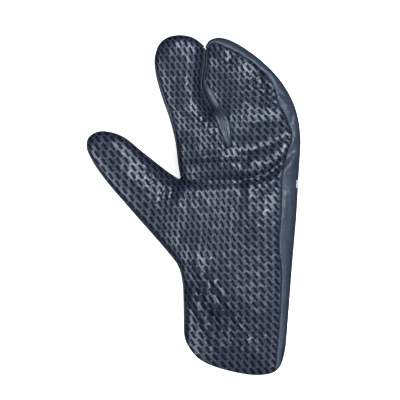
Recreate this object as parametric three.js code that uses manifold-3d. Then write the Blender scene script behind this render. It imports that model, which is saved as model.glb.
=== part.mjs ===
// Cycling over-glove for the left hand. It has three compartments: the thumb, the first two fingers (lobe A)
// and the last two fingers (lobe B). It lies on its back, filled as if worn, with its cuff open.
// Millimetres. +X is towards the little finger, +Y towards the fingertips and +Z up, out of the palm.
// Each panel is cloth of one thickness, laid over a smooth height above or below the glove's outline.
import * as THREE from "three";
import Module from "manifold-3d";

const wasm = await Module();
wasm.setup();

// Cloth
const WALL = 1.2;
const SEAM_GAP = 0.4;
const SPLIT_GAP = 0.9;

// Heights above the floor
const MID_HEIGHT = 14;
const LOBE_RISE = 9;
const THUMB_RISE = 9;

// Fullness either side of the middle height, and how far in from the edge it is reached
const PALM_FULL = { palm: 24.5, lobe: 17, thumb: 15.5 };
const PALM_ROUND = { palm: 30, lobe: 15, thumb: 13 };
const BACK_FULL = { palm: 18, lobe: 14.5, thumb: 13 };
const BACK_ROUND = { palm: 20, lobe: 14, thumb: 13 };

// Where the finger lobes and the thumb begin
const LOBE_FROM = 55;
const LOBE_TO = 120;
const LOBE_CLIMB_TO = 200;
const LOBE_TOP = 145;
const THUMB_FROM = -12;
const THUMB_TO = -58;
const THUMB_CROTCH = { x: -10.8, y: 21.2 };
const THUMB_GAP_WAY = { x: -0.52, y: 0.85 };

// Mesh steps
const EDGE_STEP = 6.8;
const SLIT_STEP = 4.6;
const STRIP_STEP = 3.6;
const PALM_STEP = 7.6;
const BACK_STEP = 11;
const FOLD_STEP = 6;

const table = (columns, lines) =>
  lines.map((line) => Object.fromEntries(columns.map((name, i) => [name, line[i]])));

// Rings of mesh points: how far inside the outline, clear of the panel's edge and apart from other points
const RINGS = table(["inset", "clear", "apart"], [
  [1.1, 0.7, 1.0],
  [4.2, 1.6, 2.2],
  [9, 2.6, 3.6],
]);
const RING_TRUE = 0.8;

// Points beside the folds and in the lattice: clear of the panel's edge and apart. The lattice's two are
// shares of its step.
const FOLD_CLEAR = 3;
const FOLD_APART = 3.6;
const LATTICE_CLEAR = 0.4;
const LATTICE_APART = 0.62;

const NEAR_TRIES = 1000;
const TINY = 1e-9;
const SAME_ANGLE = 1e-7;

// The outline seen from above, counter-clockwise, in three smooth edges with a sharp crotch between them.
// Inset is how far inside the outline the seam of the palm panel runs.
const LITTLE_FINGER_EDGE = table(["x", "y", "inset"], [
  [75.0, -178, 8.0],
  [78.8, -129, 7.6],
  [80.8, -105, 7.6],
  [84.5, -57, 9.4],
  [86.3, -36, 13.5],
  [88.6, -9, 14.0],
  [90.5, 25, 14.6],
  [91.7, 43, 12.0],
  [92.1, 58, 7.6],
  [89.7, 76, 10.4],
  [84.0, 92, 12.4],
  [72.7, 109.4, 8.0],
  [58.0, 124, 6.6],
  [41.4, 136, 7.2],
  [29.0, 142.1, 7.4],
  [20.5, 143.4, 5.6],
  [13.6, 141.0, 3.2],
  [10.4, 136.0, 2.3],
  [9.0, 119, 2.2],
  [6.9, 106, 3.0],
  [8.3, 97, 6.4],
  [16.8, 80, 7.0],
]);
const LOBE_A_EDGE = table(["x", "y", "inset"], [
  [16.8, 80, 2.2],
  [7.2, 96.6, 2.2],
  [5.8, 106, 2.2],
  [7.9, 119, 2.2],
  [8.9, 134, 2.2],
  [5.4, 139.8, 2.6],
  [-2.0, 144.1, 2.6],
  [-11.6, 145.6, 2.4],
  [-21.7, 143.9, 2.4],
  [-29.0, 138.4, 2.4],
  [-33.2, 127, 2.4],
  [-32.7, 114.2, 3.0],
  [-27.6, 94.3, 4.4],
  [-20.8, 74.9, 4.4],
  [-15.7, 54.9, 2.8],
  [-13.1, 34.5, 2.2],
  [-10.8, 21.2, 2.0],
]);
const THUMB_EDGE = table(["x", "y", "inset"], [
  [-10.8, 21.2, 2.0],
  [-21.6, 28.6, 2.2],
  [-43.3, 45.5, 2.4],
  [-59.4, 58.3, 2.4],
  [-71.0, 62.7, 2.4],
  [-82.0, 63.0, 2.4],
  [-90.2, 57.6, 2.4],
  [-91.4, 49.0, 2.4],
  [-86.8, 38, 2.4],
  [-75.1, 21, 2.4],
  [-57.3, 0.1, 2.4],
  [-21.3, -41.5, 2.4],
  [-13.3, -52.5, 2.4],
  [-9.7, -65.7, 2.4],
  [-8.6, -90, 2.4],
  [-8.5, -120, 2.4],
  [-8.3, -178, 2.4],
]);
// The split ends and the seams begin this far along the first and the second edge.
const SPLIT_TOP = { right: { x: 10.2, y: 134 }, left: { x: 8.9, y: 134 } };
const BACK_SPLIT_INSET = 2.2;

// The edge of the strip that shows below the split: down its right side, round its point and up its left side
const STRIP_EDGE = table(["x", "y"], [
  [26.4, 79],
  [29.9, 71.5],
  [31.5, 63],
  [31.8, 54],
  [29.8, 48.6],
  [27.0, 53.5],
  [22.6, 64],
  [19.6, 71.5],
  [16.9, 76.5],
  [14.9, 79],
]);
const STRIP_LEAD = 3;

// The cuff's free edge on the palm side, from the thumb side to the other
const HEM = table(["x", "y"], [
  [-8.9, -104],
  [-7.6, -113.6],
  [-5, -120],
  [3.5, -130.6],
  [15.6, -137.2],
  [42.1, -144.2],
  [57, -145.4],
  [69.3, -143],
  [74.2, -138.5],
  [76.9, -132.1],
  [79.4, -121],
]);
const HEM_BACK_SHARE = 0.5;
const HEM_STEPS = 40;
const CUT_BEYOND = 50;
const CUT_DEPTH = 120;
const HEM_SHARE_FROM = 2;
const CUT_LEVELS = [-10, HEM_SHARE_FROM, 4, 6, 8, 10, 12, MID_HEIGHT, 90];

// Folds of the palm side. Each runs through three points and has a width on the left and right of that way. A
// ridge is high, a crease is low.
const FOLDS = table(["x0", "y0", "x1", "y1", "x2", "y2", "left", "right", "height"], [
  [-14, 21, 18, 21, 50, 22, 3.2, 5.5, -3.0],
  [40, 20.5, 66, 29, 90, 52, 3.6, 4.4, -4.6],
  [47, 33, 46.5, 8, 45, -14, 12.0, 3.2, 2.0],
  [54, 10, 70, 22, 88, 42, 3.4, 5.0, 1.8],
  [-8, 33, 20, 35, 46, 33, 4.0, 7.0, 2.2],
  [-12, 76, 8, 62, 22, 41, 5.0, 3.4, 3.2],
  [-13, 68, 4, 55, 18, 38, 3.4, 6.0, -1.8],
  [4, 130, 34, 117, 54, 92, 5.0, 4.4, 3.2],
  [57, 122, 65, 100, 62, 80, 3.2, 3.2, -2.4],
  [32, 46, 56, 49, 82, 64, 14.0, 5.0, -6.0],
  [-19, 12, -22, -4, -23, -20, 3.4, 3.6, -2.8],
  [-1, -44, 8, -62, 23, -90, 6.0, 5.0, 2.8],
  [-5, -56, 6, -77, 26, -112, 4.4, 4.4, -2.0],
  [-3, -74, 6, -92, 18, -122, 6.0, 5.0, 2.2],
  [17, -58, 31, -83, 48, -114, 5.0, 5.0, -2.2],
  [22, -86, 34, -105, 53, -130, 6.4, 5.0, 2.4],
  [82, -40, 81, -80, 78.5, -116, 4.0, 5.0, 1.6],
]);
const FOLD_SAMPLES = 12;
const FOLD_START = 0.08;
const FOLD_SPAN = 0.84;

// Broad hills and hollows of the hand inside
const HILLS = table(["x", "y", "long", "wide", "height"], [
  [24, 6, 26, 16, -0.8],
  [60, -12, 20, 18, 1.4],
  [66, 16, 12, 14, -1.6],
  [68, -20, 40, 18, 0.6],
  [36, -152, 44, 70, -5.5],
  [-38, 16, 16, 14, 1.2],
]);
const EDGE_CALM = 3;

const COLOURS = { palm: 0x4d5666, back: 0x3f4a5c, fourchette: 0x454e5e };
const ROUGHNESS = { palm: 0.5, back: 0.6, fourchette: 0.6 };

// Outline

// Spaced points on a smooth edge. Each holds x, y and, in z, the seam's inset.
function edgeCurve(rows) {
  const points = rows.map((row) => new THREE.Vector3(row.x, row.y, row.inset ?? 0));
  return new THREE.CatmullRomCurve3(points, false, "centripetal");
}

// Even samples along a stretch of a curve, each with the direction into the glove
function along(curve, from, to, step) {
  const count = Math.max(1, Math.round(((to - from) * curve.getLength()) / step));
  return Array.from({ length: count + 1 }, (_, i) => {
    const share = from + ((to - from) * i) / count;
    const { x, y, z: inset } = curve.getPointAt(share);
    const way = curve.getTangentAt(share);
    return { x, y, inset, inward: new THREE.Vector2(-way.y, way.x).normalize() };
  });
}

// Turns the point where two edges meet in a crotch straight into the glove
function crotch(before, after) {
  const [a, b] = [before.at(-1).inward, after[0].inward];
  return { ...before.at(-1), inward: new THREE.Vector2(a.y - b.y, b.x - a.x).normalize() };
}

// How far along a curve, from 0 to 1, it passes closest to a point
function nearest(curve, place) {
  const tries = Array.from({ length: NEAR_TRIES + 1 }, (_, i) => i / NEAR_TRIES);
  const gap = (u) => Math.hypot(curve.getPointAt(u).x - place.x, curve.getPointAt(u).y - place.y);
  return tries.reduce((best, u) => (gap(u) < gap(best) ? u : best));
}

const littleFingerCurve = edgeCurve(LITTLE_FINGER_EDGE);
const lobeACurve = edgeCurve(LOBE_A_EDGE);
const thumbCurve = edgeCurve(THUMB_EDGE);
const splitRight = nearest(littleFingerCurve, SPLIT_TOP.right);
const splitLeft = nearest(lobeACurve, SPLIT_TOP.left);
const halfGapRight = SPLIT_GAP / 2 / littleFingerCurve.getLength();
const halfGapLeft = SPLIT_GAP / 2 / lobeACurve.getLength();

const outerSide = along(littleFingerCurve, 0, splitRight - halfGapRight, EDGE_STEP);
const slitRight = along(littleFingerCurve, splitRight + halfGapRight, 1, SLIT_STEP);
const slitLeft = along(lobeACurve, 0, splitLeft - halfGapLeft, SLIT_STEP);
const lobeASide = along(lobeACurve, splitLeft + halfGapLeft, 1, EDGE_STEP);
const thumbSide = along(thumbCurve, 0, 1, EDGE_STEP);
const outline = [
  ...outerSide,
  ...slitRight.slice(0, -1),
  crotch(slitRight, slitLeft),
  ...slitLeft.slice(1),
  ...lobeASide.slice(0, -1),
  crotch(lobeASide, thumbSide),
  ...thumbSide.slice(1),
];
const slitStart = outerSide.length;
const slitCrotch = slitStart + slitRight.length - 1;
const slitEnd = slitCrotch + slitLeft.length;

const flat = ({ x, y }) => new THREE.Vector2(x, y);
const insetPoint = (i, inset) => flat(outline[i]).addScaledVector(outline[i].inward, inset);

const numbers = (from, to) => Array.from({ length: to - from }, (_, i) => from + i);

// Heights

// A smooth distance to the outline, from the angle under which each of its edges is seen
function depthInside(x, y) {
  let sum = 0;
  outline.forEach((a, i) => {
    const b = outline[(i + 1) % outline.length];
    const [ax, ay, bx, by] = [a.x - x, a.y - y, b.x - x, b.y - y];
    const ra = Math.hypot(ax, ay);
    const rb = Math.hypot(bx, by);
    const tangent = Math.abs(ax * by - ay * bx) / (ra * rb + ax * bx + ay * by + TINY);
    sum += tangent * (1 / ra + 1 / rb);
  });
  return 2 / sum;
}

const rise = THREE.MathUtils.smoothstep;

function thumbShare(x, y) {
  const side = THUMB_GAP_WAY.x * (y - THUMB_CROTCH.y) - THUMB_GAP_WAY.y * (x - THUMB_CROTCH.x);
  return side > 0 ? rise(-x, -THUMB_FROM, -THUMB_TO) : 0;
}

// Mixes the three values of a size by how far a place is in the finger lobes or in the thumb
function mixed(size, x, y) {
  const thumb = thumbShare(x, y);
  const lobe = (1 - thumb) * rise(y, LOBE_FROM, LOBE_TO);
  return size.palm + (size.lobe - size.palm) * lobe + (size.thumb - size.palm) * thumb;
}

function middleHeight(x, y) {
  const thumb = thumbShare(x, y);
  const lobe = rise(y, LOBE_FROM, LOBE_CLIMB_TO) / rise(LOBE_TOP, LOBE_FROM, LOBE_CLIMB_TO);
  return MID_HEIGHT + THUMB_RISE * thumb + (thumb > 0 ? 0 : LOBE_RISE * lobe);
}

const foldPaths = FOLDS.map((fold) => {
  const points = [0, 1, 2].map((k) => new THREE.Vector3(fold[`x${k}`], fold[`y${k}`], 0));
  return new THREE.CatmullRomCurve3(points, false, "centripetal").getSpacedPoints(FOLD_SAMPLES);
});

// A fold is round across its path and dies away at both ends
function foldHeight(fold, path, x, y) {
  let nearestGap = Infinity;
  let share = 0;
  let width = fold.left;
  for (let k = 0; k + 1 < path.length; k += 1) {
    const [a, b] = [path[k], path[k + 1]];
    const [dx, dy] = [b.x - a.x, b.y - a.y];
    const t = THREE.MathUtils.clamp(((x - a.x) * dx + (y - a.y) * dy) / (dx * dx + dy * dy), 0, 1);
    const gap = Math.hypot(x - a.x - t * dx, y - a.y - t * dy);
    if (gap < nearestGap) {
      nearestGap = gap;
      share = (k + t) / (path.length - 1);
      width = dx * (y - a.y) - dy * (x - a.x) > 0 ? fold.left : fold.right;
    }
  }
  const end = Math.sqrt(Math.sin(Math.PI * (FOLD_START + FOLD_SPAN * share)));
  return fold.height * end * Math.exp(-((nearestGap / width) ** 2));
}

function hillHeight(hill, x, y) {
  const across = (x - hill.x) / hill.wide;
  const up = (y - hill.y) / hill.long;
  return hill.height * Math.exp(-(across ** 2) - up ** 2);
}

function relief(x, y) {
  const folds = FOLDS.reduce((sum, fold, i) => sum + foldHeight(fold, foldPaths[i], x, y), 0);
  return folds + HILLS.reduce((sum, hill) => sum + hillHeight(hill, x, y), 0);
}

// How far the cloth stands off the middle height
function fullness(full, round, x, y) {
  return mixed(full, x, y) * Math.sqrt(1 - Math.exp((-2 * depthInside(x, y)) / mixed(round, x, y)));
}

function palmHeight(x, y) {
  const calm = 1 - Math.exp(-depthInside(x, y) / EDGE_CALM);
  return middleHeight(x, y) + fullness(PALM_FULL, PALM_ROUND, x, y) + relief(x, y) * calm;
}

function backHeight(x, y) {
  return Math.max(0, middleHeight(x, y) - fullness(BACK_FULL, BACK_ROUND, x, y));
}

// Meshes over polygons

function inside(polygon, p) {
  let odd = false;
  polygon.forEach((a, i) => {
    const b = polygon[(i + 1) % polygon.length];
    if (a.y > p.y !== b.y > p.y && p.x < a.x + ((p.y - a.y) * (b.x - a.x)) / (b.y - a.y)) odd = !odd;
  });
  return odd;
}

function edgeGap(polygon, p) {
  let least = Infinity;
  polygon.forEach((a, i) => {
    const b = polygon[(i + 1) % polygon.length];
    const [dx, dy] = [b.x - a.x, b.y - a.y];
    const t = THREE.MathUtils.clamp(((p.x - a.x) * dx + (p.y - a.y) * dy) / (dx * dx + dy * dy), 0, 1);
    least = Math.min(least, Math.hypot(p.x - a.x - t * dx, p.y - a.y - t * dy));
  });
  return least;
}

// Points for a mesh inside a polygon: rings that follow the outline, then points on all the folds, then points
// beside them, then an even lattice
function innerPoints(polygon, step, folded) {
  const kept = [];
  const offer = (p, clear, apart) => {
    if (!inside(polygon, p) || edgeGap(polygon, p) < clear) return;
    if (kept.every((q) => q.distanceTo(p) > apart)) kept.push(p);
  };
  for (const ring of RINGS) {
    for (const i of numbers(0, outline.length)) {
      const p = insetPoint(i, ring.inset);
      if (edgeGap(outline, p) > ring.inset * RING_TRUE) offer(p, ring.clear, ring.apart);
    }
  }
  const lastRing = RINGS[RINGS.length - 1].inset;
  const far = (p) => edgeGap(outline, p) > lastRing + step * LATTICE_CLEAR;
  if (folded) {
    for (const aside of [() => 0, (fold) => fold.left, (fold) => -fold.right]) {
      foldPaths.forEach((path, i) => {
        for (const sample of along(new THREE.CatmullRomCurve3(path), 0, 1, FOLD_STEP)) {
          const p = flat(sample).addScaledVector(sample.inward, aside(FOLDS[i]));
          if (far(p)) offer(p, FOLD_CLEAR, FOLD_APART);
        }
      });
    }
  }
  const rowStep = step * Math.sqrt(0.75);
  const box = new THREE.Box2().setFromPoints(polygon);
  for (let row = 0, y = box.min.y; y < box.max.y; row += 1, y += rowStep) {
    for (let x = box.min.x + (row % 2) * step * 0.5; x < box.max.x; x += step) {
      const p = new THREE.Vector2(x, y);
      if (far(p)) offer(p, step * LATTICE_CLEAR, step * LATTICE_APART);
    }
  }
  return kept;
}

const turn = (a, b, c) => (b.x - a.x) * (c.y - a.y) - (b.y - a.y) * (c.x - a.x);

function cornerAngle(at, b, c) {
  const u = new THREE.Vector2(b.x - at.x, b.y - at.y);
  const v = new THREE.Vector2(c.x - at.x, c.y - at.y);
  return Math.acos(THREE.MathUtils.clamp(u.dot(v) / (u.length() * v.length()), -1, 1));
}

// Triangles over a polygon and the points inside it. It starts from the polygon's ears, each point then
// splits the triangle that holds it, and shared edges are swapped until no pair of triangles gets rounder.
function triangulate(polygon, inner) {
  const points = [...polygon, ...inner];
  const faces = THREE.ShapeUtils.triangulateShape([...polygon], []).map((f) =>
    turn(points[f[0]], points[f[1]], points[f[2]]) < 0 ? [f[0], f[2], f[1]] : [...f],
  );
  for (const n of numbers(polygon.length, points.length)) {
    const p = points[n];
    const at = faces.findIndex((face) =>
      face.every((corner, k) => turn(points[corner], points[face[(k + 1) % 3]], p) >= -TINY),
    );
    const [a, b, c] = faces[at];
    faces.splice(at, 1, [a, b, n], [b, c, n], [c, a, n]);
  }
  return { points, faces: swapped(faces, points) };
}

function swapped(faces, points) {
  let changed = true;
  while (changed) {
    changed = false;
    const owners = new Map();
    const touched = new Set();
    for (const [f, face] of faces.entries()) {
      for (const k of [0, 1, 2]) {
        const [a, b, c] = [face[k], face[(k + 1) % 3], face[(k + 2) % 3]];
        const other = owners.get(`${b},${a}`);
        owners.set(`${a},${b}`, { f, c });
        if (!other || touched.has(f) || touched.has(other.f)) continue;
        const d = other.c;
        const [here, there] = [c, d].map((corner) => cornerAngle(points[corner], points[a], points[b]));
        if (here + there < Math.PI + SAME_ANGLE) continue;
        touched.add(f).add(other.f);
        faces[f] = [a, d, c];
        faces[other.f] = [d, b, c];
        changed = true;
        break;
      }
    }
  }
  return faces;
}

// Panels

const rim = outline.map(flat);
const SLOPE_STEP = 0.05;

// Lifts a point of the plan onto the palm side (way 1) or the back (way -1), with its outward direction
function lifted(p, way) {
  const at = rim.indexOf(p);
  if (at >= 0) {
    const place = new THREE.Vector3(p.x, p.y, middleHeight(p.x, p.y));
    return { place, out: new THREE.Vector3(-outline[at].inward.x, -outline[at].inward.y, 0) };
  }
  const height = way > 0 ? palmHeight : backHeight;
  const slopeX = (height(p.x + SLOPE_STEP, p.y) - height(p.x - SLOPE_STEP, p.y)) / (2 * SLOPE_STEP);
  const slopeY = (height(p.x, p.y + SLOPE_STEP) - height(p.x, p.y - SLOPE_STEP)) / (2 * SLOPE_STEP);
  const out = new THREE.Vector3(-slopeX, -slopeY, 1).normalize().multiplyScalar(way);
  return { place: new THREE.Vector3(p.x, p.y, height(p.x, p.y)), out };
}

function sheet(polygon, step, way) {
  const { points, faces } = triangulate(polygon, innerPoints(polygon, step, way > 0));
  const corners = points.map((p) => lifted(p, way));
  return { corners, faces: way > 0 ? faces : faces.map(([a, b, c]) => [a, c, b]) };
}

// Joins sheets along the corners that they share, and gives them a thickness down from their outer face
function cloth(sheets, thickness) {
  const corners = [];
  const faces = [];
  const known = new Map();
  for (const part of sheets) {
    const ids = part.corners.map((corner) => {
      const key = corner.place.toArray().map((v) => v.toFixed(3)).join();
      if (!known.has(key)) known.set(key, corners.push(corner) - 1);
      return known.get(key);
    });
    part.faces.forEach((face) => faces.push(face.map((i) => ids[i])));
  }
  const count = corners.length;
  const sunk = ({ place, out }, depth) => place.clone().addScaledVector(out, -depth).toArray();
  const layer = (depth) => corners.flatMap((corner) => sunk(corner, depth));
  const triangles = faces.flatMap(([a, b, c]) => [a, b, c, a + count, c + count, b + count]);
  const edges = new Set(faces.flatMap(([a, b, c]) => [`${a},${b}`, `${b},${c}`, `${c},${a}`]));
  for (const edge of edges) {
    const [a, b] = edge.split(",").map(Number);
    if (!edges.has(`${b},${a}`)) triangles.push(b, a, a + count, b, a + count, b + count);
  }
  const vertProperties = new Float32Array([...layer(0), ...layer(thickness)]);
  const triVerts = new Uint32Array(triangles);
  return new wasm.Manifold(new wasm.Mesh({ numProp: 3, vertProperties, triVerts }));
}

// Seam of the palm panel, shifted by half the gap: way 1 is the palm panel's own edge
const seam = (from, to, way) =>
  numbers(from, to).map((i) => insetPoint(i, outline[i].inset + (way * SEAM_GAP) / 2));

// The seam of the back round the split, with a fan of points round its crotch
function backSeam(way) {
  const inset = BACK_SPLIT_INSET + (way * SPLIT_GAP) / 2;
  const { inward } = outline[slitCrotch];
  const [a, b] = [slitRight.at(-1).inward, slitLeft[0].inward];
  const spread = [a, a.clone().add(inward), inward, b.clone().add(inward), b];
  const centre = flat(outline[slitCrotch]);
  const fan = spread.map((toward) => centre.clone().addScaledVector(toward.clone().normalize(), inset));
  const straight = (from, to) => numbers(from, to).map((i) => insetPoint(i, inset));
  return [...straight(slitStart, slitCrotch), ...fan, ...straight(slitCrotch + 1, slitEnd)];
}

const stripSide = along(edgeCurve(STRIP_EDGE), 0, 1, STRIP_STEP);
const stripSeam = (way) =>
  stripSide.map((point) => flat(point).addScaledVector(point.inward, (way * SPLIT_GAP) / 2));

// The palm seam round the split: down its right side, round the strip below it and up its left side
function splitSeam(way) {
  const clear = STRIP_EDGE[0].y + STRIP_LEAD;
  const right = seam(slitStart, slitCrotch, way).filter((p) => p.y > clear);
  const left = seam(slitCrotch + 1, slitEnd, way).filter((p) => p.y > clear);
  return [...right, ...stripSeam(way), ...left];
}

function palmPanel() {
  const loop = [...seam(0, slitStart, 1), ...splitSeam(1), ...seam(slitEnd, outline.length, 1)];
  return cloth([sheet(loop, PALM_STEP, 1)], WALL);
}

function backPanel() {
  const bandRight = [...rim.slice(0, slitStart), ...seam(0, slitStart, -1).reverse()];
  const bandLeft = [...rim.slice(slitEnd), ...seam(slitEnd, outline.length, -1).reverse()];
  const back = [...rim.slice(0, slitStart), ...backSeam(1), ...rim.slice(slitEnd)];
  const bands = [bandRight, bandLeft].map((band) => sheet(band, PALM_STEP, 1));
  return cloth([...bands, sheet(back, BACK_STEP, -1)], WALL);
}

function fourchette() {
  const slit = rim.slice(slitStart, slitEnd);
  const over = [...slit, ...splitSeam(-1).reverse()];
  const under = [...slit, ...backSeam(-1).reverse()];
  return cloth([sheet(over, PALM_STEP, 1), sheet(under, PALM_STEP, -1)], WALL);
}

// What lies beyond the cuff's free edge. The edge hangs lower on the palm side than on the back.
function beyondHem() {
  const points = HEM.map((row) => new THREE.Vector3(row.x, row.y, 0));
  const curve = new THREE.CatmullRomCurve3(points, false, "centripetal").getSpacedPoints(HEM_STEPS);
  const [start, end] = [curve[0], curve[HEM_STEPS]];
  const wide = [
    new THREE.Vector3(start.x - CUT_BEYOND, start.y, 0),
    ...curve,
    new THREE.Vector3(end.x + CUT_BEYOND, end.y, 0),
  ];
  const corners = wide.flatMap((p) => {
    const across = THREE.MathUtils.clamp((p.x - start.x) / (end.x - start.x), 0, 1);
    const level = start.y + (end.y - start.y) * across;
    return CUT_LEVELS.map((z) => {
      const share = HEM_BACK_SHARE + (1 - HEM_BACK_SHARE) * rise(z, HEM_SHARE_FROM, MID_HEIGHT);
      const place = new THREE.Vector3(p.x, level + (p.y - level) * share, z);
      return { place, out: new THREE.Vector3(0, 1, 0) };
    });
  });
  const faces = [];
  for (const k of numbers(0, wide.length - 1)) {
    for (const j of numbers(0, CUT_LEVELS.length - 1)) {
      const a = k * CUT_LEVELS.length + j;
      const b = a + CUT_LEVELS.length;
      faces.push([a, b + 1, b], [a, a + 1, b + 1]);
    }
  }
  return cloth([{ corners, faces }], CUT_DEPTH);
}

function panelMesh(name, solid, colour, roughness) {
  const { vertProperties, triVerts } = solid.getMesh();
  const geometry = new THREE.BufferGeometry();
  geometry.setAttribute("position", new THREE.Float32BufferAttribute(vertProperties, 3));
  geometry.setIndex(new THREE.Uint32BufferAttribute(triVerts, 1));
  geometry.computeVertexNormals();
  const paint = new THREE.MeshStandardMaterial({ color: colour, roughness, metalness: 0 });
  const mesh = new THREE.Mesh(geometry, paint);
  mesh.name = name;
  return mesh;
}

const hemCut = beyondHem();
const glove = new THREE.Group();
glove.add(
  panelMesh("palm_panel", palmPanel().subtract(hemCut), COLOURS.palm, ROUGHNESS.palm),
  panelMesh("back_panel", backPanel().subtract(hemCut), COLOURS.back, ROUGHNESS.back),
  panelMesh("finger_fourchette", fourchette(), COLOURS.fourchette, ROUGHNESS.fourchette),
);

// The origin goes under the middle of the glove's box.
const middle = new THREE.Box3().setFromObject(glove).getCenter(new THREE.Vector3());
glove.position.set(-middle.x, -middle.y, 0);

export default glove;
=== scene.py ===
"""Looks of the cycling over-glove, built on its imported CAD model.

Lengths are in millimetres on the table that the glove lies on, as in the CAD source, and become metres in
the row frame when a mesh is made. Only the materials, the floor, the lights and the camera are in metres.
+X is towards the little finger, +Y towards the fingertips and +Z up.
"""

import math

import bmesh
import bpy
import numpy as np
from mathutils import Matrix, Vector, geometry
from mathutils.bvhtree import BVHTree


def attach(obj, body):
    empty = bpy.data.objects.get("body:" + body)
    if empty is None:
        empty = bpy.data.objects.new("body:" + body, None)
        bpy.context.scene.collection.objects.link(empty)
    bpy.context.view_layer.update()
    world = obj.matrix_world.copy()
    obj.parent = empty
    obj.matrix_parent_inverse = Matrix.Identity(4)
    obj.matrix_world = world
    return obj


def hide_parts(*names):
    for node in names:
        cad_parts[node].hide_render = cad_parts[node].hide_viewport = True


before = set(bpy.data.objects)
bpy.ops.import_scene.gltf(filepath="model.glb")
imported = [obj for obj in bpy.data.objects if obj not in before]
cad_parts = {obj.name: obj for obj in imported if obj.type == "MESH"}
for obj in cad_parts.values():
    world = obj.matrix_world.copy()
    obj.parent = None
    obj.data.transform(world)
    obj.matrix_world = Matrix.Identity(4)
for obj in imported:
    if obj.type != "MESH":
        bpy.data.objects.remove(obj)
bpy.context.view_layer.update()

# Where the row frame's origin is on the table
ORIGIN = np.array([0.285, 0.010, 0.0])

# Cloth
THICKNESS = 0.9

# Heights, as in the CAD source: where the cloth stands at the outline, and how far it bulges from there
MID_HEIGHT = 14
LOBE_RISE = 9
THUMB_RISE = 9
PALM_FULL = {"palm": 24.5, "lobe": 17, "thumb": 15.5}
PALM_ROUND = {"palm": 30, "lobe": 15, "thumb": 13}
BACK_FULL = {"palm": 18, "lobe": 14.5, "thumb": 13}
BACK_ROUND = {"palm": 20, "lobe": 14, "thumb": 13}
LOBE_FROM = 55
LOBE_TO = 120
LOBE_TIP = 145
LOBE_RISE_TO = 200
THUMB_FROM = 12
THUMB_TO = 58
THUMB_CROTCH = (-10.8, 21.2)
THUMB_GAP_WAY = (-0.52, 0.85)
EDGE_CALM = 3

# Steps between the points of lines and meshes
RIM_STEP = 1.3
SIDE_SEAM_STEP = 6.0
SPLIT_SEAM_STEP = 4.0
STRIP_SEAM_STEP = 3.0
FOLD_STEP = 2.0
CLOTH_STEP = 1.2
BACK_STEP = 2.0
STRIP_STEP = 0.8

# Rings of points inside the outline, and how near to the outline and to each other points may be
RING_INSETS = (0.08, 0.3, 0.66, 1.15, 1.8, 2.6, 3.5)
RING_KEPT_FROM = 0.85
RINGS_END = RING_INSETS[-1] + 0.1
LATTICE_OFF_RINGS = 0.55
LATTICE_OFF_EDGE = 0.4
RING_OFF_EDGE = 0.7
RING_OFF_EDGE_MOST = 0.5
OUTLINE_LEAST_STEP = 0.12
ON_RIM = 0.01
WELDED = 0.00003

# The flat layout of the palm cloth: its grid, and the steepest slope that it follows
FLAT_STEP = 1.0
FLAT_BORDER = 2
FLAT_MARGIN = 0.9
FLAT_ROUNDS = 900
FLAT_ERROR = 1e-8
MOST_SLOPE = 1.4

# How the print is drawn together across the palm, apart on the cuff, and together below the fingertips
GATHER = 0.3
GATHER_EDGE_Y = (-70, -10)
GATHER_EDGE_X = (28, 46)
GATHER_BLEND = 9
GATHER_FROM_Y = (-72, -36)
CUFF_SPREAD = 0.14
BUNCHED = 0.45
BUNCHED_AT = (28, 82)
BUNCHED_WIDE = (26, 24)

# The outline: x, y and how far inside it the palm panel's seam runs
LITTLE_FINGER_EDGE = [
    (75.0, -178, 8.0),
    (78.8, -129, 7.6),
    (80.8, -105, 7.6),
    (84.5, -57, 9.4),
    (86.3, -36, 13.5),
    (88.6, -9, 14.0),
    (90.5, 25, 14.6),
    (91.7, 43, 12.0),
    (92.1, 58, 7.6),
    (89.7, 76, 10.4),
    (84.0, 92, 12.4),
    (72.7, 109.4, 8.0),
    (58.0, 124, 6.6),
    (41.4, 136, 7.2),
    (29.0, 142.1, 7.4),
    (20.5, 143.4, 5.6),
    (13.6, 141.0, 3.2),
    (10.4, 136.0, 2.3),
    (9.0, 119, 2.2),
    (6.9, 106, 3.0),
    (8.3, 97, 6.4),
    (16.8, 80, 7.0),
]
LOBE_A_EDGE = [
    (16.8, 80, 2.2),
    (8.0, 97, 2.2),
    (6.72, 106, 2.2),
    (8.85, 119, 2.2),
    (10.05, 134, 2.2),
    (5.4, 139.8, 2.6),
    (-2.0, 144.1, 2.6),
    (-11.6, 145.6, 2.4),
    (-21.7, 143.9, 2.4),
    (-29.0, 138.4, 2.4),
    (-33.2, 127, 2.4),
    (-32.7, 114.2, 3.0),
    (-27.6, 94.3, 4.4),
    (-20.8, 74.9, 4.4),
    (-15.7, 54.9, 2.8),
    (-13.1, 34.5, 2.2),
    (-10.8, 21.2, 2.0),
]
THUMB_EDGE = [
    (-10.8, 21.2, 2.0),
    (-21.6, 28.6, 2.2),
    (-43.3, 45.5, 2.4),
    (-59.4, 58.3, 2.4),
    (-71.0, 62.7, 2.4),
    (-82.0, 63.0, 2.4),
    (-90.2, 57.6, 2.4),
    (-91.4, 49.0, 2.4),
    (-86.8, 38, 2.4),
    (-75.1, 21, 2.4),
    (-57.3, 0.1, 2.4),
    (-21.3, -41.5, 2.4),
    (-13.3, -52.5, 2.4),
    (-9.7, -65.7, 2.4),
    (-8.6, -90, 2.4),
    (-8.5, -120, 2.4),
    (-8.3, -178, 2.4),
]

# The share of those insets that the seam keeps on lobe A and the thumb
LEFT_SEAM_SHARE = 0.5

# The closed split between the lobes
SLIT_REACH = 17
SLIT_OPEN = 0.06
SPLIT_TOP_RIGHT = (10.2, 134)
SPLIT_TOP_LEFT = (10.05, 134)

# How far inside the split the back's seam runs, and the points of its arc round the split's end
BACK_SPLIT_INSET = 2.2
ARC_POINTS = 6

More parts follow.
